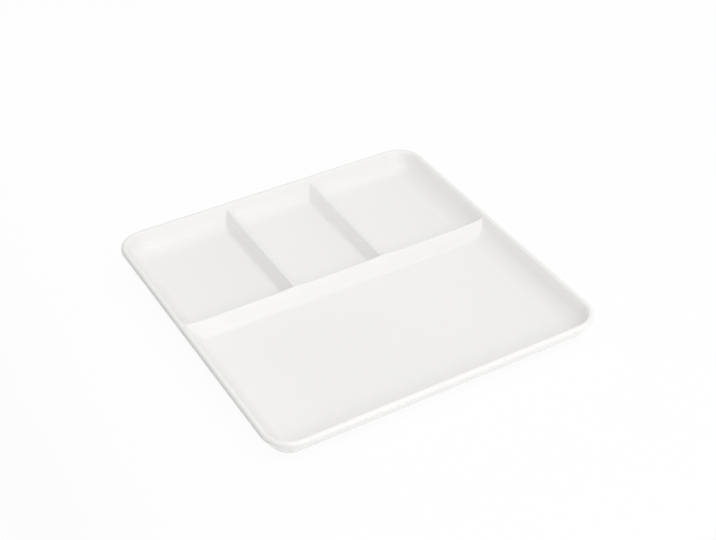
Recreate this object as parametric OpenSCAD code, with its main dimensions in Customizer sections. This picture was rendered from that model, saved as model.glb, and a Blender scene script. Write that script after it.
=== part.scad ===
// Square divided dish in glazed ceramic, with three small compartments behind a large one.
// X runs along the long divider, Y from front to back and Z up, all in millimetres.
// The origin is in the middle of the plane that the foot ring stands on.

/* [Dish] */
// Length of each side over the lip
side = 245; // [230:1:300]
// Depth inside, from the floor to the top of the lip
depth = 14.4; // [12:0.1:20]
// Thickness of the floor
floor_t = 3.8; // [3:0.1:7]
// Thickness of the wall at the lip, which is rounded with half of it
lip_t = 4.4; // [3:0.1:6]
// Slope of the inside of the wall under the lip, in degrees from level
inner_slope = 67; // [58:1:76]
// Slope of the outside of the wall under the lip, in degrees from level
outer_slope = 58; // [52:1:70]
// Radius of the cove between the floor and the wall
wall_cove_r = 14; // [10:0.5:16]
// Radius of the wall's heel outside, as a share of the cove's radius
heel_share = 0.75; // [0.5:0.05:0.9]
// Radius of the corners of the floor in plan
floor_corner_r = 1; // [0.5:0.1:12]

/* [Dividers] */
// Height of the long divider above the floor
long_h = 10.1; // [6:0.1:11]
// Height of the short dividers above the floor
short_h = 9.5; // [6:0.1:11]
// Distance of the long divider behind the middle of the dish
long_y = 13.9; // [-20:0.1:40]
// Distance between the two short dividers, from middle to middle
short_gap = 69; // [50:1:110]
// Radius of the rounded top of each divider
ridge_r = 1.2; // [1:0.1:2.2]
// Slope of the long divider's sides, in degrees from level
long_slope = 58; // [48:1:66]
// Slope of the short dividers' sides, in degrees from level
short_slope = 62; // [54:1:75]
// Radius of the coves along the feet of the long divider
long_cove_r = 4; // [2:0.1:8]
// Radius of the coves along the feet of the short dividers
short_cove_r = 2.2; // [1.5:0.1:6]
// Slope of those coves where they meet the floor, in degrees from level
toe_slope = 10; // [5:1:15]

/* [Foot] */
// Height of the foot ring under the floor
foot_h = 2.6; // [1.2:0.1:5]
// Width of the foot ring
foot_w = 5; // [3.2:0.1:10]
// Distance of the foot ring in from the edge of the floor
foot_inset = 10; // [2:0.5:40]
// Radius of the outer corners of the foot ring in plan
foot_corner_r = 14; // [11:0.5:40]
// Radius of the rounded lower edges of the foot ring
foot_edge_r = 1; // [0.3:0.1:1.5]

/* [Hidden] */
$fn = 96;
arc_steps = 12;
glaze_white = [0.95, 0.945, 0.93];
bare_clay = [0.86, 0.83, 0.78];
// How far a divider's section runs below the floor before the floor trims it
overrun = 1;

// The wall is measured from the top of the floor's edge, with X outward
lip_r = lip_t / 2;
lip_z = depth - lip_r;
inner_across = [sin(inner_slope), -cos(inner_slope)];
outer_across = [sin(outer_slope), -cos(outer_slope)];
cove_end = wall_cove_r * [sin(inner_slope), 1 - cos(inner_slope)];
inner_rise = lip_z + lip_r * cos(inner_slope) - cove_end.y;
inner_end = cove_end + [inner_rise / tan(inner_slope), inner_rise];
lip_centre = inner_end + lip_r * inner_across;
outer_end = lip_centre + lip_r * outer_across;
heel_r = heel_share * wall_cove_r;
heel_z = heel_r * (1 - cos(outer_slope)) - floor_t;
heel_top = [outer_end.x - (outer_end.y - heel_z) / tan(outer_slope), heel_z];
heel_centre = heel_top - heel_r * outer_across;

wall_w = lip_centre.x + lip_r;
floor_half = side / 2 - wall_w;
floor_z = foot_h + floor_t;
foot_half = floor_half - foot_inset;

// Points on an arc, without its first, by angles in degrees that turn from straight down to outward
function arc(centre, r, from, to) = [
    for (i = [1 : arc_steps])
        let (a = from + (to - from) * i / arc_steps)
            centre + r * [sin(a), -cos(a)]
];

// The inner face of the wall, from the floor's edge to the lip
inner_face = concat(arc([0, wall_cove_r], wall_cove_r, 0, inner_slope), [inner_end]);

function reversed(points) = [for (i = [len(points) - 1 : -1 : 0]) points[i]];

function mirrored(points) = concat(points, [for (p = reversed(points)) [-p.x, p.y]]);

// A square with rounded corners, from its half width and corner radius
module rounded_square(half, r) {
    straight = half - r;
    square([2 * half, 2 * straight], center = true);
    square([2 * straight, 2 * half], center = true);
    for (x = [-straight, straight], y = [-straight, straight])
        translate([x, y])
            circle(r);
}

// Sweeps a section round a rounded square, with the section's X outward from its outline
module round_the_square(half, r) {
    straight = half - r;
    for (turn = [0 : 90 : 270])
        rotate(turn) {
            translate([half, straight, 0])
                rotate([90, 0, 0])
                    linear_extrude(2 * straight)
                        children();
            translate([straight, straight, 0])
                rotate_extrude(angle = 90)
                    translate([r, 0])
                        children();
        }
}

// The coved wall's section, with its round lip and heel
module wall_section() {
    lip = arc(lip_centre, lip_r, inner_slope + 180, outer_slope);
    heel = arc(heel_centre, heel_r, outer_slope, 0);
    polygon(concat([[0, 0]], inner_face, lip, [heel_top], heel, [[0, -floor_t]]));
}

// The open space between two opposite walls, seen along them
module space_section() {
    wall = [for (p = inner_face) [floor_half + p.x, p.y]];
    half_outline = concat([[floor_half, 0]], wall, [[floor_half + inner_end.x, depth]]);
    polygon(mirrored(half_outline));
}

// A divider's section of height h: a rounded ridge, sloping sides and coved feet that run below the floor
module divider_section(h, slope, cove_r) {
    ridge = arc([0, h - ridge_r], ridge_r, 180, 180 - slope);
    side_top = ridge[arc_steps - 1];
    cove_top = cove_r * (cos(toe_slope) - cos(slope));
    side_foot = [side_top.x + (side_top.y - cove_top) / tan(slope), cove_top];
    cove_centre = side_foot + cove_r * [sin(slope), cos(slope)];
    cove = arc(cove_centre, cove_r, -slope, -toe_slope);
    toe_x = cove[arc_steps - 1].x;
    polygon(mirrored(concat(ridge, [side_foot], cove, [[toe_x, -overrun]])));
}

// The long divider's bar, from side to side and past the walls
module long_bar() {
    translate([0, long_y, 0])
        rotate([90, 0, 90])
            linear_extrude(side, center = true)
                divider_section(long_h, long_slope, long_cove_r);
}

// A short divider at x, from the long one to the back wall
module short_divider(x) {
    color(glaze_white)
        translate([0, 0, floor_z])
            difference() {
                intersection() {
                    translate([x, side / 2, 0])
                        rotate([90, 0, 0])
                            linear_extrude(side / 2 - long_y)
                                divider_section(short_h, short_slope, short_cove_r);
                    rotate([90, 0, 90])
                        linear_extrude(side, center = true)
                            space_section();
                }
                long_bar();
            }
}

module floor_panel() {
    color(glaze_white)
        translate([0, 0, foot_h])
            linear_extrude(floor_t)
                rounded_square(floor_half, floor_corner_r);
}

module rim_wall() {
    color(glaze_white)
        translate([0, 0, floor_z])
            round_the_square(floor_half, floor_corner_r)
                wall_section();
}

module long_divider() {
    color(glaze_white)
        translate([0, 0, floor_z])
            intersection() {
                long_bar();
                rotate([90, 0, 0])
                    linear_extrude(side, center = true)
                        space_section();
            }
}

module left_divider() {
    short_divider(-short_gap / 2);
}

module right_divider() {
    short_divider(short_gap / 2);
}

// The foot ring's section, with rounded lower edges
module foot_section() {
    translate([-foot_w, foot_edge_r])
        square([foot_w, foot_h - foot_edge_r]);
    translate([foot_edge_r - foot_w, 0])
        square([foot_w - 2 * foot_edge_r, foot_edge_r]);
    for (x = [foot_edge_r - foot_w, -foot_edge_r])
        translate([x, foot_edge_r])
            circle(foot_edge_r);
}

module foot_ring() {
    color(bare_clay)
        round_the_square(foot_half, foot_corner_r)
            foot_section();
}

floor_panel();
rim_wall();
long_divider();
left_divider();
right_divider();
foot_ring();
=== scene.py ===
import math

import bpy
from bpy.props import FloatProperty, FloatVectorProperty, PointerProperty
from bpy.types import Operator, Panel, PropertyGroup
from mathutils import Matrix, Vector


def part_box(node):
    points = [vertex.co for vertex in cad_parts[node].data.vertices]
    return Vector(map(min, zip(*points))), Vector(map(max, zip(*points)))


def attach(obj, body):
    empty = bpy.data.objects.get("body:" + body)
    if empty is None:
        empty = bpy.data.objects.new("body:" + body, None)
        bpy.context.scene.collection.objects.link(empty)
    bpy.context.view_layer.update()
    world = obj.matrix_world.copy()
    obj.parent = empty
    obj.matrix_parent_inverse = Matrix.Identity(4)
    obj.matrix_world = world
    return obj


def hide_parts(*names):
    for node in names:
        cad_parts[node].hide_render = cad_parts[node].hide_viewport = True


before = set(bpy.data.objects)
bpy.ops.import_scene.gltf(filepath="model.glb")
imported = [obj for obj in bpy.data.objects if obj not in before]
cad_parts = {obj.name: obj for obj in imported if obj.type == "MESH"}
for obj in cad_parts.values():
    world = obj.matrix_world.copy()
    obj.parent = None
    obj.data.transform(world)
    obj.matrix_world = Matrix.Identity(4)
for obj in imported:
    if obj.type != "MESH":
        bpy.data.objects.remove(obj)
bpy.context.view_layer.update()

bl_info = {
    "name": "Square divided dish",
    "version": (1, 0, 0),
    "blender": (4, 5, 0),
    "location": "3D View > Sidebar > Dish",
    "description": "A glazed square dish with three small compartments behind a large one",
    "category": "Object",
}

FLOOR_LOW, FLOOR_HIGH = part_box("floor_panel")
RIM_LOW, RIM_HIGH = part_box("rim_wall")
LONG_LOW, LONG_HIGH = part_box("long_divider")
LEFT_LOW, LEFT_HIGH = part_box("left_divider")
RIGHT_LOW, RIGHT_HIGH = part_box("right_divider")
FOOT_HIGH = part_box("foot_ring")[1]

# Cells of the meshes, along and across what they follow
COVE_CELLS = 22
SIDE_CELLS = 6
LIP_CELLS = 16
HEEL_CELLS = 12
CORNER_CELLS = 16
EDGE_CELLS = 6
DIVIDER_CELLS = 44
FLAT_CELLS = 14
FOOT_SIDE_CELLS = 4
FOOT_BEND_CELLS = 6
# Widths in metres that the finer cells cover, along the floor's edge and across a divider
EDGE_BAND = 0.006
DIVIDER_BAND = 0.025
# Points closer than this are one
WELD = 2e-6
# Slack in radians for telling the inside of the wall from its outside
TURN_SLACK = 0.001
# How far inside the dish's side the dividers' rise ends, in lip thicknesses
RISE_INSET = 1.5
# How soon the coves count as full of pooled glaze
POOLING = 6.0


def size(name, description, default):
    return FloatProperty(name=name, description=description, default=default, unit="LENGTH", precision=5)


def angle(name, description, degrees):
    return FloatProperty(
        name=name, description=description, default=math.radians(degrees), subtype="ANGLE"
    )


def share(name, description, default):
    return FloatProperty(
        name=name, description=description, default=default, min=0, max=1, subtype="FACTOR"
    )


def colour(name, description, default):
    return FloatVectorProperty(
        name=name, description=description, default=default, min=0, max=1, subtype="COLOR"
    )


class DishSizes(PropertyGroup):
    side: size("Side", "Length of each side over the lip", RIM_HIGH.x - RIM_LOW.x)
    floor_width: size("Floor width", "Width of the flat floor", FLOOR_HIGH.x - FLOOR_LOW.x)
    floor_height: size("Floor height", "Height of the top of the floor", FLOOR_HIGH.z)
    floor_thickness: size("Floor thickness", "Thickness of the floor", FLOOR_HIGH.z - FLOOR_LOW.z)
    depth: size("Depth", "From the floor to the top of the lip", RIM_HIGH.z - FLOOR_HIGH.z)
    lip_thickness: size("Lip thickness", "Thickness of the wall at its round lip", 0.0044)
    inner_slope: angle("Inner slope", "Slope of the inside of the wall under the lip", 67)
    outer_slope: angle("Outer slope", "Slope of the outside of the wall under the lip", 58)
    heel: size("Heel", "Radius between the outside of the wall and the underside", 0.0105)
    floor_corner: size("Floor corner", "Radius of the floor's corners in plan", 0.001)


class DividerSizes(PropertyGroup):
    long_height: size("Long height", "Height of the long divider", LONG_HIGH.z - LONG_LOW.z)
    short_height: size("Short height", "Height of the short dividers", LEFT_HIGH.z - LEFT_LOW.z)
    long_offset: size(
        "Long offset", "Distance of the long divider behind the middle", (LONG_LOW.y + LONG_HIGH.y) / 2
    )
    short_gap: size(
        "Short gap",
        "Distance between the short dividers",
        (RIGHT_LOW.x + RIGHT_HIGH.x - LEFT_LOW.x - LEFT_HIGH.x) / 2,
    )
    ridge_radius: size("Ridge radius", "Radius of the dividers' round tops", 0.0012)
    long_slope: angle("Long slope", "Slope of the long divider's sides", 58)
    short_slope: angle("Short slope", "Slope of the short dividers' sides", 62)
    long_fillet: size("Long fillet", "Height over which the long divider runs into floor and wall", 0.0036)
    short_fillet: size("Short fillet", "Height over which the short dividers run into the rest", 0.0022)
    junction_rise: size("Junction rise", "Rise of the long divider where a short one meets it", 0.0008)
    junction_reach: size("Junction reach", "How far that rise reaches along the divider", 0.007)
    end_rise: size("End rise", "Rise of the dividers where they meet the wall", 0.0013)
    end_reach: size("End reach", "How far that rise reaches along the dividers", 0.015)


class FootSizes(PropertyGroup):
    half_width: size("Half width", "From the middle to the outside of the ring", FOOT_HIGH.x)
    height: size("Height", "Height of the ring", FOOT_HIGH.z)
    width: size("Ring width", "Width of the ring", 0.005)
    corner: size("Corner", "Radius of the ring's outer corners in plan", 0.014)
    edge: size("Edge", "Radius of the ring's lower edges", 0.001)
    flare: size("Flare", "Radius of the coves between the ring and the floor", 0.0009)
    glaze_line: size("Glaze line", "Height at which the glaze ends on the ring", 0.00085)


class Finish(PropertyGroup):
    glaze: colour("Glaze", "Colour of the glaze", (0.895, 0.888, 0.872))
    thin_glaze: colour("Thin glaze", "Colour of the glaze where it is thin", (0.888, 0.88, 0.862))
    pooled_glaze: colour("Pooled glaze", "Colour of the glaze where it has pooled", (0.897, 0.893, 0.882))
    clay: colour("Clay", "Colour of the bare fired clay", (0.70, 0.655, 0.58))
    gloss: share("Gloss", "Roughness of the glaze", 0.2)
    clay_roughness: share("Clay roughness", "Roughness of the bare clay", 0.78)


class Studio(PropertyGroup):
    azimuth: angle("Azimuth", "Camera's angle round the dish", -30.498)
    elevation: angle("Elevation", "Camera's angle above the table", 37.67)
    distance: size("Distance", "From the camera to what it looks at", 0.9565)
    focus_x: size("Focus X", "Where the camera looks, along X", 0.00945)
    focus_y: size("Focus Y", "Where the camera looks, along Y", 0.00594)
    focus_z: size("Focus Z", "Where the camera looks, above the table", 0.0188)
    lens: FloatProperty(name="Lens", description="Focal length in millimetres", default=70.27)
    table: colour("Table", "Colour of the table", (0.9, 0.9, 0.9))
    whiteness: share("Whiteness", "How white the table looks, while the rest keeps its shadow", 0.94)
    ambient: share("Ambient", "Strength of the even light from all round", 0.655)
    card: colour("Card", "Colour of the dark card left of the dish", (0.02, 0.02, 0.02))
    card_x: size("Card X", "Where the dark card stands, along X", -0.25)
    card_length: size("Card length", "Length of the dark card", 0.6)
    card_height: size("Card height", "Height of the dark card", 0.08)


class Field:
    """A value in a node tree, to which arithmetic adds math nodes."""

    def __init__(self, tree, socket):
        self.tree = tree
        self.socket = socket

    def math(self, operation, *others, clamp=False):
        node = self.tree.nodes.new("ShaderNodeMath")
        node.operation = operation
        node.use_clamp = clamp
        for socket, value in zip(node.inputs, (self, *others)):
            feed(self.tree, socket, value)
        return Field(self.tree, node.outputs[0])

    def __add__(self, other):
        return self.math("ADD", other)

    __radd__ = __add__

    def __sub__(self, other):
        return self.math("SUBTRACT", other)

    def __rsub__(self, other):
        return (-self) + other

    def __mul__(self, other):
        return self.math("MULTIPLY", other)

    __rmul__ = __mul__

    def __truediv__(self, other):
        return self.math("DIVIDE", other)

    def __neg__(self):
        return self.math("MULTIPLY", -1.0)

    def __abs__(self):
        return self.math("ABSOLUTE")

    def at_least(self, other):
        return self.math("MAXIMUM", other)

    def at_most(self, other):
        return self.math("MINIMUM", other)

    def between_0_and_1(self):
        return self.math("ADD", 0.0, clamp=True)

    def squared(self):
        return self * self

    def root(self):
        return self.math("SQRT")

    def sine(self):
        return self.math("SINE")

    def cosine(self):
        return self.math("COSINE")

    def bell(self):
        """Falls smoothly from 1 at 0 to almost nothing at 2 and -2."""
        return (-self.squared()).math("EXPONENT")

    def run_into(self, other, blend):
        """The higher of two heights, with a smooth cove where they cross."""
        return self.math("SMOOTH_MAX", other, blend)

    def progress(self, first, cells):
        """How far along a stretch of cells this counter is, from 0 to 1."""
        return (self - float(first)).math("DIVIDE", float(cells), clamp=True)


def feed(tree, socket, value):
    """Joins a socket to a field or another socket, or sets its value."""
    if isinstance(value, Field):
        tree.links.new(value.socket, socket)
    elif isinstance(value, bpy.types.NodeSocket):
        tree.links.new(value, socket)
    else:
        socket.default_value = value


def add_node(tree, kind, settings=None, **inputs):
    """A new node with its settings, and with its inputs fed by name."""
    node = tree.nodes.new(kind)
    for name, value in (settings or {}).items():
        setattr(node, name, value)
    for name, value in inputs.items():
        feed(tree, node.inputs[name.replace("_", " ")], value)
    return node


class ShapeTree:
    """A Geometry Nodes tree with named inputs, which makes a plain mesh."""

    def __init__(self, name, inputs, material):
        self.tree = bpy.data.node_groups.new(name, "GeometryNodeTree")
        self.tree.interface.new_socket("Geometry", in_out="OUTPUT", socket_type="NodeSocketGeometry")
        self.values = {}
        for label, value in inputs.items():
            socket = self.tree.interface.new_socket(label, in_out="INPUT", socket_type="NodeSocketFloat")
            self.values[socket.identifier] = value
        self.given = self.tree.nodes.new("NodeGroupInput")
        self.material = material
        self.sheets = []

    def value(self, label):
        return Field(self.tree, self.given.outputs[label])

    def grid(self, across, along):
        """A mesh of across by along cells, with counters over each."""
        node = add_node(
            self.tree,
            "GeometryNodeMeshGrid",
            Size_X=float(across),
            Size_Y=float(along),
            Vertices_X=across + 1,
            Vertices_Y=along + 1,
        )
        position = self.tree.nodes.new("GeometryNodeInputPosition")
        parts = add_node(self.tree, "ShaderNodeSeparateXYZ", Vector=position.outputs["Position"])
        column = Field(self.tree, parts.outputs["X"]) + across / 2
        row = Field(self.tree, parts.outputs["Y"]) + along / 2
        return node.outputs["Mesh"], column, row

    def lay(self, mesh, x, y, z, turned=False, masks=None):
        """Puts a mesh's points in place, with masks kept as attributes."""
        for name, mask in (masks or {}).items():
            mesh = add_node(
                self.tree,
                "GeometryNodeStoreNamedAttribute",
                {"data_type": "FLOAT", "domain": "POINT"},
                Geometry=mesh,
                Name=name,
                Value=mask,
            ).outputs["Geometry"]
        place = add_node(self.tree, "ShaderNodeCombineXYZ", X=x, Y=y, Z=z)
        mesh = add_node(
            self.tree, "GeometryNodeSetPosition", Geometry=mesh, Position=place.outputs["Vector"]
        ).outputs["Geometry"]
        if turned:
            mesh = add_node(self.tree, "GeometryNodeFlipFaces", Mesh=mesh).outputs["Mesh"]
        self.sheets.append(mesh)

    def finish(self):
        """Welds the sheets and ends the tree."""
        join = self.tree.nodes.new("GeometryNodeJoinGeometry")
        for sheet in reversed(self.sheets):
            self.tree.links.new(sheet, join.inputs["Geometry"])
        welded = add_node(
            self.tree, "GeometryNodeMergeByDistance", Geometry=join.outputs["Geometry"], Distance=WELD
        )
        smooth = add_node(self.tree, "GeometryNodeSetShadeSmooth", Geometry=welded.outputs["Geometry"])
        plain = add_node(self.tree, "GeometryNodeRealizeInstances", Geometry=smooth.outputs["Geometry"])
        painted = add_node(
            self.tree, "GeometryNodeSetMaterial", Geometry=plain.outputs["Geometry"], Material=self.material
        )
        end = self.tree.nodes.new("NodeGroupOutput")
        self.tree.links.new(painted.outputs["Geometry"], end.inputs["Geometry"])

    def make(self, name):
        """A new object that holds the tree's mesh and no modifier."""
        piece = bpy.data.objects.new(name, bpy.data.meshes.new(name))
        bpy.context.scene.collection.objects.link(piece)
        modifier = piece.modifiers.new("Shape", "NODES")
        modifier.node_group = self.tree
        for identifier, value in self.values.items():
            modifier[identifier] = value
        graph = bpy.context.evaluated_depsgraph_get()
        mesh = bpy.data.meshes.new_from_object(
            piece.evaluated_get(graph), preserve_all_data_layers=True, depsgraph=graph
        )
        piece.modifiers.clear()
        piece.data = mesh
        mesh.name = name
        if not mesh.polygons:
            raise RuntimeError(name + " came out empty")
        return piece


def lines(counter, start, stretches):
    """Where a counter's grid line lies, over stretches of (cells, length)."""
    place = start
    first = 0
    for cells, length in stretches:
        place = length * counter.progress(first, cells) + place
        first += cells
    return place


def cells_of(stretches):
    return sum(cells for cells, _ in stretches)


def bend(cells, radius, start, end):
    """An arc of a section, by angles that turn from straight down to outward."""
    return cells, lambda part: bend_at(radius, start, end, part)


def bend_at(radius, start, end, part):
    turned = part * (end - start) + start
    if isinstance(start, Field):
        first = start.sine(), start.cosine()
    else:
        first = math.sin(start), math.cos(start)
    return (turned.sine() - first[0]) * radius, (first[1] - turned.cosine()) * radius


def straight(cells, outward, upward):
    """A straight stretch of a section."""
    return cells, lambda part: (part * outward, part * upward)


def trace(row, start, steps):
    """A section's distance outward and height, row by row."""
    outward, height = start
    first = 0
    for cells, move in steps:
        step_out, step_up = move(row.progress(first, cells))
        outward = step_out + outward
        height = step_up + height
        first += cells
    return outward, height


def round_the_square(column, half, along_x, along_y):
    """For each column round a rounded square: its corner centre or side's base point, and outward direction.
    along_x and along_y are the stretches of the sides, which run from -half to half."""
    across, deep = cells_of(along_x), cells_of(along_y)
    front = 0
    right = front + across + CORNER_CELLS
    back = right + deep + CORNER_CELLS
    left = back + across + CORNER_CELLS
    x_front = lines((column - front).at_least(0), -half, along_x)
    x_back = lines(float(back + across) - column, -half, along_x)
    y_right = lines(column - right, -half, along_y)
    y_left = lines(float(left + deep) - column, -half, along_y)
    turn = column.progress(front + across, CORNER_CELLS)
    for corner in (right + deep, back + across, left + deep):
        turn = turn + column.progress(corner, CORNER_CELLS)
    heading = turn * (math.pi / 2) - math.pi / 2
    return x_front + x_back - half, y_right + y_left - half, heading.cosine(), heading.sine()


def round_cells(along_x, along_y):
    return 2 * cells_of(along_x) + 2 * cells_of(along_y) + 4 * CORNER_CELLS


class Dividers:
    """The heights of the long and short dividers above the floor."""

    def __init__(self, shape):
        self.ridge_radius = shape.value("Ridge Radius")
        self.long_slope = shape.value("Long Slope")
        self.short_slope = shape.value("Short Slope")
        self.long_fillet = shape.value("Long Fillet")
        self.short_fillet = shape.value("Short Fillet")
        self.long_height = shape.value("Long Height")
        self.short_height = shape.value("Short Height")
        self.long_offset = shape.value("Long Offset")
        self.short_offset = shape.value("Short Gap") / 2.0
        self.junction_rise = shape.value("Junction Rise")
        self.junction_reach = shape.value("Junction Reach")
        self.end_rise = shape.value("End Rise")
        self.end_reach = shape.value("End Reach")
        inset = shape.value("Lip Thickness") * RISE_INSET
        self.rise_start = shape.value("Side") / 2.0 - inset - self.end_reach

    def ridge(self, off, top, slope):
        """Height of a divider at a distance off its middle line."""
        off = abs(off)
        cap = self.ridge_radius * slope.sine()
        round_top = (self.ridge_radius.squared() - off.at_most(cap).squared()).root()
        fall = (off - cap).at_least(0.0) * slope.math("TANGENT")
        return top - self.ridge_radius + round_top - fall

    def rise_at_wall(self, along):
        part = ((abs(along) - self.rise_start) / self.end_reach).between_0_and_1()
        return part.squared() * self.end_rise

    def cover(self, x, y, wall):
        """Height of the dish's inside, and where its glaze is thin and pooled."""
        off_long = y - self.long_offset
        off_short = abs(x) - self.short_offset
        junction = (off_short / self.junction_reach).bell() * self.junction_rise
        long_top = self.long_height + junction + self.rise_at_wall(x)
        long = self.ridge(off_long, long_top, self.long_slope)
        short_start = (self.ridge_radius - off_long).at_least(0.0)
        off_short = (off_short.squared() + short_start.squared()).root()
        short_top = self.short_height + self.rise_at_wall(y)
        short = self.ridge(off_short, short_top, self.short_slope)
        height = wall.run_into(long, self.long_fillet).run_into(short, self.short_fillet)
        sharp = wall.at_least(long).at_least(short)
        pooled = ((height - sharp) / self.short_fillet * POOLING).between_0_and_1()
        thin = self.thinned(off_long, long_top, wall).at_least(self.thinned(off_short, short_top, wall))
        return height, thin, pooled

    def thinned(self, off, top, wall):
        standing = ((top - wall) / self.short_fillet).between_0_and_1()
        return (off / self.ridge_radius).bell() * standing


def glazed_dish(sizes, dividers, material):
    """The glazed body: floor, coved wall with round lip, and dividers that run into them."""
    shape = ShapeTree(
        "Glazed dish",
        {
            "Side": sizes.side,
            "Floor Width": sizes.floor_width,
            "Floor Height": sizes.floor_height,
            "Floor Thickness": sizes.floor_thickness,
            "Depth": sizes.depth,
            "Lip Thickness": sizes.lip_thickness,
            "Inner Slope": sizes.inner_slope,
            "Outer Slope": sizes.outer_slope,
            "Heel": sizes.heel,
            "Floor Corner": sizes.floor_corner,
            "Long Height": dividers.long_height,
            "Short Height": dividers.short_height,
            "Long Offset": dividers.long_offset,
            "Short Gap": dividers.short_gap,
            "Ridge Radius": dividers.ridge_radius,
            "Long Slope": dividers.long_slope,
            "Short Slope": dividers.short_slope,
            "Long Fillet": dividers.long_fillet,
            "Short Fillet": dividers.short_fillet,
            "Junction Rise": dividers.junction_rise,
            "Junction Reach": dividers.junction_reach,
            "End Rise": dividers.end_rise,
            "End Reach": dividers.end_reach,
        },
        material,
    )
    corner = shape.value("Floor Corner")
    floor_half = shape.value("Floor Width") / 2.0
    floor_height = shape.value("Floor Height")
    thickness = shape.value("Floor Thickness")
    half = floor_half - corner
    # Heights are measured from the top of the floor
    level = floor_height * 0.0
    lip_radius = shape.value("Lip Thickness") / 2.0
    lip_out = shape.value("Side") / 2.0 - lip_radius - floor_half
    lip_up = shape.value("Depth") - lip_radius

    # The inside of the wall: a cove from the floor, then a straight slope to the lip
    inner = shape.value("Inner Slope")
    inner_out = lip_out - lip_radius * inner.sine()
    inner_up = lip_up + lip_radius * inner.cosine()
    cove = (inner_out * inner.sine() - inner_up * inner.cosine()) / (1.0 - inner.cosine())
    inner_rise = inner_up - cove * (1.0 - inner.cosine())

    # The outside: a straight slope down from the lip, then a round heel to the underside
    outer = shape.value("Outer Slope")
    heel = shape.value("Heel")
    outer_out = lip_out + lip_radius * outer.sine()
    outer_up = lip_up - lip_radius * outer.cosine()
    outer_fall = outer_up + thickness - heel * (1.0 - outer.cosine())
    outer_run = outer_fall / outer.math("TANGENT")
    under_run = outer_out - outer_run - heel * outer.sine() + corner
    ridges = Dividers(shape)

    # Stretches of cells along the floor, finer at its edges and over the dividers
    edge, band = EDGE_BAND, DIVIDER_BAND
    short_gap = shape.value("Short Gap")
    long_offset = shape.value("Long Offset")
    beside = half - edge - short_gap / 2.0 - band / 2
    along_x = [
        (EDGE_CELLS, edge),
        (FLAT_CELLS, beside),
        (DIVIDER_CELLS, band),
        (FLAT_CELLS, short_gap - band),
        (DIVIDER_CELLS, band),
        (FLAT_CELLS, beside),
        (EDGE_CELLS, edge),
    ]
    along_y = [
        (EDGE_CELLS, edge),
        (2 * FLAT_CELLS, half + long_offset - edge - band / 2),
        (DIVIDER_CELLS, band),
        (FLAT_CELLS, half - long_offset - edge - band / 2),
        (EDGE_CELLS, edge),
    ]

    # The floor with the dividers on it, and its underside
    for upper in (True, False):
        mesh, column, row = shape.grid(cells_of(along_x), cells_of(along_y))
        x = lines(column, -half, along_x)
        y = lines(row, -half, along_y)
        height = level - thickness
        masks = {"thin_glaze": 0.0, "pooled_glaze": 0.0}
        if upper:
            height, masks["thin_glaze"], masks["pooled_glaze"] = ridges.cover(x, y, level)
        shape.lay(mesh, x, y, height + floor_height, turned=not upper, masks=masks)

    # The wall, from the floor over the lip and back under the floor
    inside = [
        straight(1, corner, 0.0),
        bend(COVE_CELLS, cove, 0.0, inner),
        straight(SIDE_CELLS, inner_rise / inner.math("TANGENT"), inner_rise),
    ]
    outside = [
        bend(LIP_CELLS, lip_radius, inner + math.pi, outer),
        straight(SIDE_CELLS, -outer_run, -outer_fall),
        bend(HEEL_CELLS, heel, outer, 0.0),
        straight(2, -under_run, 0.0),
    ]
    mesh, column, row = shape.grid(round_cells(along_x, along_y), cells_of(inside + outside))
    base_x, base_y, facing_x, facing_y = round_the_square(column, half, along_x, along_y)
    outward, height = trace(row, (-corner, level), inside + outside)
    x = base_x + facing_x * (outward + corner)
    y = base_y + facing_y * (outward + corner)
    over_lip = row.progress(cells_of(inside), LIP_CELLS) * (inner + math.pi - outer)
    within = (inner + TURN_SLACK - over_lip).math("GREATER_THAN", 0.0)
    covered, thin, pooled = ridges.cover(x, y, height)
    height = height + (covered - height) * within
    shape.lay(
        mesh,
        x,
        y,
        height + floor_height,
        turned=True,
        masks={"thin_glaze": thin * within, "pooled_glaze": pooled * within},
    )
    shape.finish()
    return shape.make("glazed_dish")


def bare_foot(sizes, material):
    """The ring underneath, with round lower edges and coves that run into the floor."""
    shape = ShapeTree(
        "Bare foot",
        {
            "Half Width": sizes.half_width,
            "Height": sizes.height,
            "Ring Width": sizes.width,
            "Corner": sizes.corner,
            "Edge": sizes.edge,
            "Flare": sizes.flare,
        },
        material,
    )
    corner = shape.value("Corner")
    half = shape.value("Half Width") - corner
    height = shape.value("Height")
    edge = shape.value("Edge")
    flare = shape.value("Flare")
    width = shape.value("Ring Width")
    quarter = math.pi / 2
    side = height - flare - edge
    steps = [
        bend(FOOT_BEND_CELLS, flare, math.pi, 3 * quarter),
        straight(1, 0.0, -side),
        bend(FOOT_BEND_CELLS, edge, quarter, 0.0),
        straight(2, edge * 2.0 - width, 0.0),
        bend(FOOT_BEND_CELLS, edge, 0.0, -quarter),
        straight(1, 0.0, side),
        bend(FOOT_BEND_CELLS, flare, quarter, math.pi),
        straight(2, width + flare * 2.0, 0.0),
    ]
    sides = [(FOOT_SIDE_CELLS, half * 2.0)]
    mesh, column, row = shape.grid(round_cells(sides, sides), cells_of(steps))
    base_x, base_y, facing_x, facing_y = round_the_square(column, half, sides, sides)
    outward, up = trace(row, (flare, height), steps)
    shape.lay(
        mesh, base_x + facing_x * (outward + corner), base_y + facing_y * (outward + corner), up, turned=True
    )
    shape.finish()
    return shape.make("bare_foot")


# How fine the glaze's clouds, smears and peel are, in waves per metre
CLOUD_SCALE, SMEAR_SCALE, PEEL_SCALE = 22.0, 60.0, 260.0
# How strongly the clouds show in its colour
CLOUD_TONE = 0.22
# How far thin and pooled glaze change its colour: at least, and more with the smears and clouds
THIN_LEAST, THIN_SMEARED = 0.55, 0.6
POOLED_LEAST, POOLED_CLOUDED = 0.6, 0.5
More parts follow.
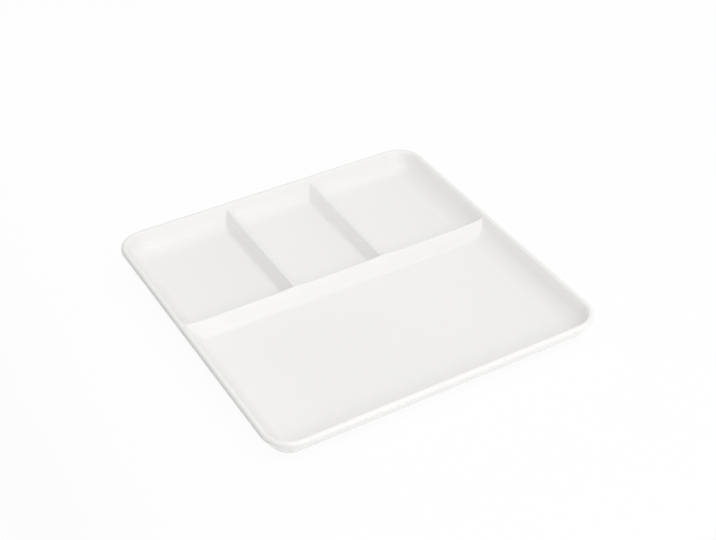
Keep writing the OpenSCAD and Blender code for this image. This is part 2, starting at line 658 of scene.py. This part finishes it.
# Its roughness as a share of the plain one: at least, and more with the smears and where it is thin
ROUGHNESS_LEAST, ROUGHNESS_SMEARED, ROUGHNESS_THIN = 0.85, 0.3, 0.25
# The parts of the smears and the peel in its relief
SMEAR_RELIEF, PEEL_RELIEF = 0.65, 0.35
# The strength of its relief and the depth in metres
GLAZE_RELIEF, GLAZE_RELIEF_DEPTH = 0.12, 0.00025

# How fine the clay's sand, blotches and the waver of the glaze's edge are, in waves per metre
SAND_SCALE, BLOTCH_SCALE, WAVER_SCALE = 2600.0, 45.0, 140.0
# How far the glaze's edge wavers up and down in all, and how soft it is, in metres
WAVER_DEPTH, GLAZE_EDGE = 0.0005, 0.00012
# The clay's tint from dark to light: the parts of the sand and the blotches, and the shift
SAND_TINT, BLOTCH_TINT, TINT_SHIFT = 0.5, 0.7, -0.1
CLAY_DARK, CLAY_LIGHT = 0.82, 1.12
# How much the sand changes the clay's roughness
SAND_ROUGHNESS = 0.2
# The strength of its relief, the depth in metres, and the part of the glaze's own relief on the ring
CLAY_RELIEF, CLAY_RELIEF_DEPTH, GLAZE_PART = 0.35, 0.0002, 0.2
# How strongly glaze and clay bend light
CERAMIC_IOR = 1.5


def glaze_detail():
    """The shader group of the glaze's finish: cloudy tone, soft roughness and a faint orange peel."""
    group = bpy.data.node_groups.new("Glaze detail", "ShaderNodeTree")
    for label, kind in (
        ("Colour", "NodeSocketColor"),
        ("Thin Colour", "NodeSocketColor"),
        ("Pooled Colour", "NodeSocketColor"),
        ("Thin", "NodeSocketFloat"),
        ("Pooled", "NodeSocketFloat"),
        ("Roughness", "NodeSocketFloat"),
    ):
        group.interface.new_socket(label, in_out="INPUT", socket_type=kind)
    for label, kind in (
        ("Colour", "NodeSocketColor"),
        ("Roughness", "NodeSocketFloat"),
        ("Height", "NodeSocketFloat"),
    ):
        group.interface.new_socket(label, in_out="OUTPUT", socket_type=kind)
    given = group.nodes.new("NodeGroupInput")
    place = group.nodes.new("ShaderNodeTexCoord").outputs["Object"]

    def noise(scale, detail):
        node = add_node(group, "ShaderNodeTexNoise", Vector=place, Scale=scale, Detail=detail)
        return Field(group, node.outputs["Fac"])

    def mixed(amount, below, above):
        node = add_node(group, "ShaderNodeMix", {"data_type": "RGBA"})
        feed(group, node.inputs["Factor"], amount)
        feed(group, node.inputs[6], below)
        feed(group, node.inputs[7], above)
        return node.outputs[2]

    cloud = noise(CLOUD_SCALE, detail=2.0)
    smear = noise(SMEAR_SCALE, detail=3.0)
    peel = noise(PEEL_SCALE, detail=1.0)
    thin = Field(group, given.outputs["Thin"])
    pooled = Field(group, given.outputs["Pooled"])
    thinned = thin * (smear * THIN_SMEARED + THIN_LEAST)
    uneven = (thinned + (cloud - 0.5) * CLOUD_TONE).between_0_and_1()
    filled = (pooled * (cloud * POOLED_CLOUDED + POOLED_LEAST)).between_0_and_1()
    tone = mixed(uneven, given.outputs["Colour"], given.outputs["Thin Colour"])
    tone = mixed(filled, tone, given.outputs["Pooled Colour"])
    rougher = smear * ROUGHNESS_SMEARED + thin * ROUGHNESS_THIN + ROUGHNESS_LEAST
    roughness = Field(group, given.outputs["Roughness"]) * rougher
    height = peel * PEEL_RELIEF + smear * SMEAR_RELIEF
    end = group.nodes.new("NodeGroupOutput")
    feed(group, end.inputs["Colour"], tone)
    feed(group, end.inputs["Roughness"], roughness)
    feed(group, end.inputs["Height"], height)
    return group


def glaze_finish(finish, group):
    """The white glaze all over the dish."""
    material = bpy.data.materials.new("White glaze")
    material.use_nodes = True
    tree = material.node_tree
    shader = tree.nodes["Principled BSDF"]
    thin = add_node(tree, "ShaderNodeAttribute", {"attribute_name": "thin_glaze"})
    pooled = add_node(tree, "ShaderNodeAttribute", {"attribute_name": "pooled_glaze"})
    detail = add_node(
        tree,
        "ShaderNodeGroup",
        {"node_tree": group},
        Colour=(*finish.glaze, 1),
        Thin_Colour=(*finish.thin_glaze, 1),
        Pooled_Colour=(*finish.pooled_glaze, 1),
        Thin=thin.outputs["Fac"],
        Pooled=pooled.outputs["Fac"],
        Roughness=finish.gloss,
    )
    bump = add_node(
        tree,
        "ShaderNodeBump",
        Strength=GLAZE_RELIEF,
        Distance=GLAZE_RELIEF_DEPTH,
        Height=detail.outputs["Height"],
    )
    feed(tree, shader.inputs["Base Color"], detail.outputs["Colour"])
    feed(tree, shader.inputs["Roughness"], detail.outputs["Roughness"])
    feed(tree, shader.inputs["Normal"], bump.outputs["Normal"])
    shader.inputs["IOR"].default_value = CERAMIC_IOR
    return material


def foot_finish(finish, sizes, group):
    """Bare, sandy clay with the glaze ending in an uneven line above it."""
    material = bpy.data.materials.new("Bare clay")
    material.use_nodes = True
    tree = material.node_tree
    shader = tree.nodes["Principled BSDF"]
    place = tree.nodes.new("ShaderNodeTexCoord").outputs["Object"]
    parts = add_node(tree, "ShaderNodeSeparateXYZ", Vector=place)
    waver = add_node(tree, "ShaderNodeTexNoise", Vector=place, Scale=WAVER_SCALE, Detail=2.0)
    sand = add_node(tree, "ShaderNodeTexNoise", Vector=place, Scale=SAND_SCALE, Detail=3.0)
    blotch = add_node(tree, "ShaderNodeTexNoise", Vector=place, Scale=BLOTCH_SCALE, Detail=3.0)
    line = Field(tree, waver.outputs["Fac"]) * WAVER_DEPTH + (sizes.glaze_line - WAVER_DEPTH / 2)
    glazed = ((Field(tree, parts.outputs["Z"]) - line) / GLAZE_EDGE + 0.5).between_0_and_1()
    grain = Field(tree, sand.outputs["Fac"])
    blotched = Field(tree, blotch.outputs["Fac"]) * BLOTCH_TINT
    tint = (grain * SAND_TINT + blotched + TINT_SHIFT).between_0_and_1()
    clay = add_node(tree, "ShaderNodeMix", {"data_type": "RGBA"})
    feed(tree, clay.inputs["Factor"], tint)
    clay.inputs[6].default_value = (*(CLAY_DARK * part for part in finish.clay), 1)
    clay.inputs[7].default_value = (*(min(1.0, CLAY_LIGHT * part) for part in finish.clay), 1)
    detail = add_node(
        tree,
        "ShaderNodeGroup",
        {"node_tree": group},
        Colour=(*finish.glaze, 1),
        Thin_Colour=(*finish.thin_glaze, 1),
        Pooled_Colour=(*finish.pooled_glaze, 1),
        Roughness=finish.gloss,
    )
    colours = add_node(tree, "ShaderNodeMix", {"data_type": "RGBA"})
    feed(tree, colours.inputs["Factor"], glazed)
    feed(tree, colours.inputs[6], clay.outputs[2])
    feed(tree, colours.inputs[7], detail.outputs["Colour"])
    bare = 1.0 - glazed
    sandy = grain * SAND_ROUGHNESS + (finish.clay_roughness - SAND_ROUGHNESS / 2)
    roughness = glazed * Field(tree, detail.outputs["Roughness"]) + bare * sandy
    height = grain * bare + Field(tree, detail.outputs["Height"]) * glazed * GLAZE_PART
    bump = add_node(
        tree, "ShaderNodeBump", Strength=CLAY_RELIEF, Distance=CLAY_RELIEF_DEPTH, Height=height
    )
    feed(tree, shader.inputs["Base Color"], colours.outputs[2])
    feed(tree, shader.inputs["Roughness"], roughness)
    feed(tree, shader.inputs["Normal"], bump.outputs["Normal"])
    shader.inputs["IOR"].default_value = CERAMIC_IOR
    return material


def shared_group():
    """The glaze's shader group, which is made once."""
    return bpy.data.node_groups.get("Glaze detail") or glaze_detail()


class DISH_OT_glazed_dish(Operator):
    """Makes the glazed body of the dish"""

    bl_idname = "dish.glazed_dish"
    bl_label = "Glazed dish"

    def execute(self, context):
        scene = context.scene
        material = glaze_finish(scene.dish_finish, shared_group())
        piece = glazed_dish(scene.dish_sizes, scene.dish_dividers, material)
        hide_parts("floor_panel", "rim_wall", "long_divider", "left_divider", "right_divider")
        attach(piece, "root")
        return {"FINISHED"}


class DISH_OT_bare_foot(Operator):
    """Makes the foot ring under the dish"""

    bl_idname = "dish.bare_foot"
    bl_label = "Bare foot"

    def execute(self, context):
        scene = context.scene
        material = foot_finish(scene.dish_finish, scene.dish_foot, shared_group())
        piece = bare_foot(scene.dish_foot, material)
        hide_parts("foot_ring")
        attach(piece, "root")
        return {"FINISHED"}


# Each softbox: name, place, width, height, power in watts
SOFTBOXES = (
    ("Over front", (-0.05, -0.61, 1.3), 0.9, 0.45, 3.1),
    ("Over back", (0.1, 0.35, 1.35), 0.9, 0.5, 0.35),
    ("Front", (0.0, -1.19, 0.74), 1.2, 0.5, 2.45),
    ("Low front", (-0.3, -1.35, 0.23), 1.9, 0.4, 2.2),
    ("Right", (0.79, -0.14, 1.15), 0.8, 0.6, 0.75),
    ("Low right", (1.33, 0.0, 0.43), 1.0, 0.5, 1.2),
    ("Back", (0.9, 1.07, 0.8), 1.0, 0.6, 0.4),
    ("Left", (-0.7, -0.1, 1.0), 0.8, 0.5, 1.3),
)
# From the middle of the table to its edges, and the camera's film and nearest sight
TABLE_HALF = 6.0
FILM_WIDTH = 36
NEAREST = 0.01


def table_finish(studio):
    """A pale table that is white to the eye and keeps the dish's shadow."""
    material = bpy.data.materials.new("Table")
    material.use_nodes = True
    tree = material.node_tree
    tree.nodes.clear()
    shader = add_node(tree, "ShaderNodeBsdfDiffuse", Color=(*studio.table, 1))
    glow = add_node(tree, "ShaderNodeEmission", Strength=1.0)
    path = tree.nodes.new("ShaderNodeLightPath")
    seen = Field(tree, path.outputs["Is Camera Ray"])
    for label in ("Is Glossy Ray", "Is Transmission Ray"):
        seen = seen.at_least(Field(tree, path.outputs[label]))
    mix = tree.nodes.new("ShaderNodeMixShader")
    feed(tree, mix.inputs["Fac"], seen * studio.whiteness)
    tree.links.new(shader.outputs["BSDF"], mix.inputs[1])
    tree.links.new(glow.outputs["Emission"], mix.inputs[2])
    end = tree.nodes.new("ShaderNodeOutputMaterial")
    tree.links.new(mix.outputs["Shader"], end.inputs["Surface"])
    return material


def sheet(name, corners, material):
    """A flat piece of the stage."""
    mesh = bpy.data.meshes.new(name)
    mesh.from_pydata(corners, [], [(0, 1, 2, 3)])
    mesh.materials.append(material)
    piece = bpy.data.objects.new(name, mesh)
    bpy.context.scene.collection.objects.link(piece)
    return piece


def table(studio):
    """The table that the dish stands on."""
    half = TABLE_HALF
    corners = [(-half, -half, 0), (half, -half, 0), (half, half, 0), (-half, half, 0)]
    sheet("table", corners, table_finish(studio))


def dark_card(studio):
    """A low dark card that keeps light off the left of the lip, out of the camera's sight."""
    material = bpy.data.materials.new("Dark card")
    material.use_nodes = True
    shader = material.node_tree.nodes["Principled BSDF"]
    shader.inputs["Base Color"].default_value = (*studio.card, 1)
    shader.inputs["Roughness"].default_value = 1.0
    x, half, height = studio.card_x, studio.card_length / 2, studio.card_height
    corners = [(x, -half, 0), (x, half, 0), (x, half, height), (x, -half, height)]
    sheet("dark card", corners, material).visible_camera = False


def surroundings(studio):
    """Even light from all round."""
    world = bpy.data.worlds.new("Studio")
    bpy.context.scene.world = world
    world.use_nodes = True
    ground = world.node_tree.nodes["Background"]
    ground.inputs["Color"].default_value = (1, 1, 1, 1)
    ground.inputs["Strength"].default_value = studio.ambient


def softbox(name, place, width, height, power):
    """A soft lamp that faces the dish."""
    light = bpy.data.lights.new(name, "AREA")
    light.shape = "RECTANGLE"
    light.size = width
    light.size_y = height
    light.energy = power
    lamp = bpy.data.objects.new(name, light)
    lamp.location = place
    lamp.rotation_mode = "QUATERNION"
    lamp.rotation_quaternion = Vector(place).to_track_quat("Z", "Y")
    bpy.context.scene.collection.objects.link(lamp)


def camera(studio):
    """The camera, which looks at its focus from its azimuth and elevation."""
    back = Vector(
        (
            math.sin(studio.azimuth) * math.cos(studio.elevation),
            -math.cos(studio.azimuth) * math.cos(studio.elevation),
            math.sin(studio.elevation),
        )
    )
    data = bpy.data.cameras.new("Camera")
    data.sensor_fit = "HORIZONTAL"
    data.sensor_width = FILM_WIDTH
    data.lens = studio.lens
    data.clip_start = NEAREST
    view = bpy.data.objects.new("Camera", data)
    bpy.context.scene.collection.objects.link(view)
    focus = Vector((studio.focus_x, studio.focus_y, studio.focus_z))
    right = Vector((math.cos(studio.azimuth), math.sin(studio.azimuth), 0))
    turn = Matrix((right, back.cross(right), back)).transposed()
    view.matrix_world = Matrix.Translation(focus + back * studio.distance) @ turn.to_4x4()
    bpy.context.scene.camera = view


class DISH_OT_studio(Operator):
    """Makes the table, the card, the soft lights and the camera"""

    bl_idname = "dish.studio"
    bl_label = "Studio"

    def execute(self, context):
        scene = context.scene
        studio = scene.dish_studio
        table(studio)
        dark_card(studio)
        surroundings(studio)
        for box in SOFTBOXES:
            softbox(*box)
        camera(studio)
        scene.view_settings.view_transform = "Standard"
        return {"FINISHED"}


class DISH_PT_panel(Panel):
    """Lists the dish's pieces and their sizes"""

    bl_idname = "DISH_PT_panel"
    bl_label = "Square divided dish"
    bl_space_type = "VIEW_3D"
    bl_region_type = "UI"
    bl_category = "Dish"

    def draw(self, context):
        for operator, groups in STEPS:
            box = self.layout.box()
            box.operator(operator.bl_idname)
            for name in groups:
                group = getattr(context.scene, name)
                for value in group.bl_rna.properties.keys():
                    if value not in ("rna_type", "name"):
                        box.prop(group, value)


GROUPS = {
    "dish_sizes": DishSizes,
    "dish_dividers": DividerSizes,
    "dish_foot": FootSizes,
    "dish_finish": Finish,
    "dish_studio": Studio,
}
STEPS = (
    (DISH_OT_glazed_dish, ("dish_sizes", "dish_dividers", "dish_finish")),
    (DISH_OT_bare_foot, ("dish_foot",)),
    (DISH_OT_studio, ("dish_studio",)),
)
CLASSES = (*GROUPS.values(), *(operator for operator, _ in STEPS), DISH_PT_panel)


def register():
    for cls in CLASSES:
        bpy.utils.register_class(cls)
    for name, group in GROUPS.items():
        setattr(bpy.types.Scene, name, PointerProperty(type=group))


def unregister():
    for name in GROUPS:
        delattr(bpy.types.Scene, name)
    for cls in reversed(CLASSES):
        bpy.utils.unregister_class(cls)


def main():
    register()
    bpy.ops.dish.glazed_dish()
    bpy.ops.dish.bare_foot()
    bpy.ops.dish.studio()


if __name__ == "__main__":
    main()
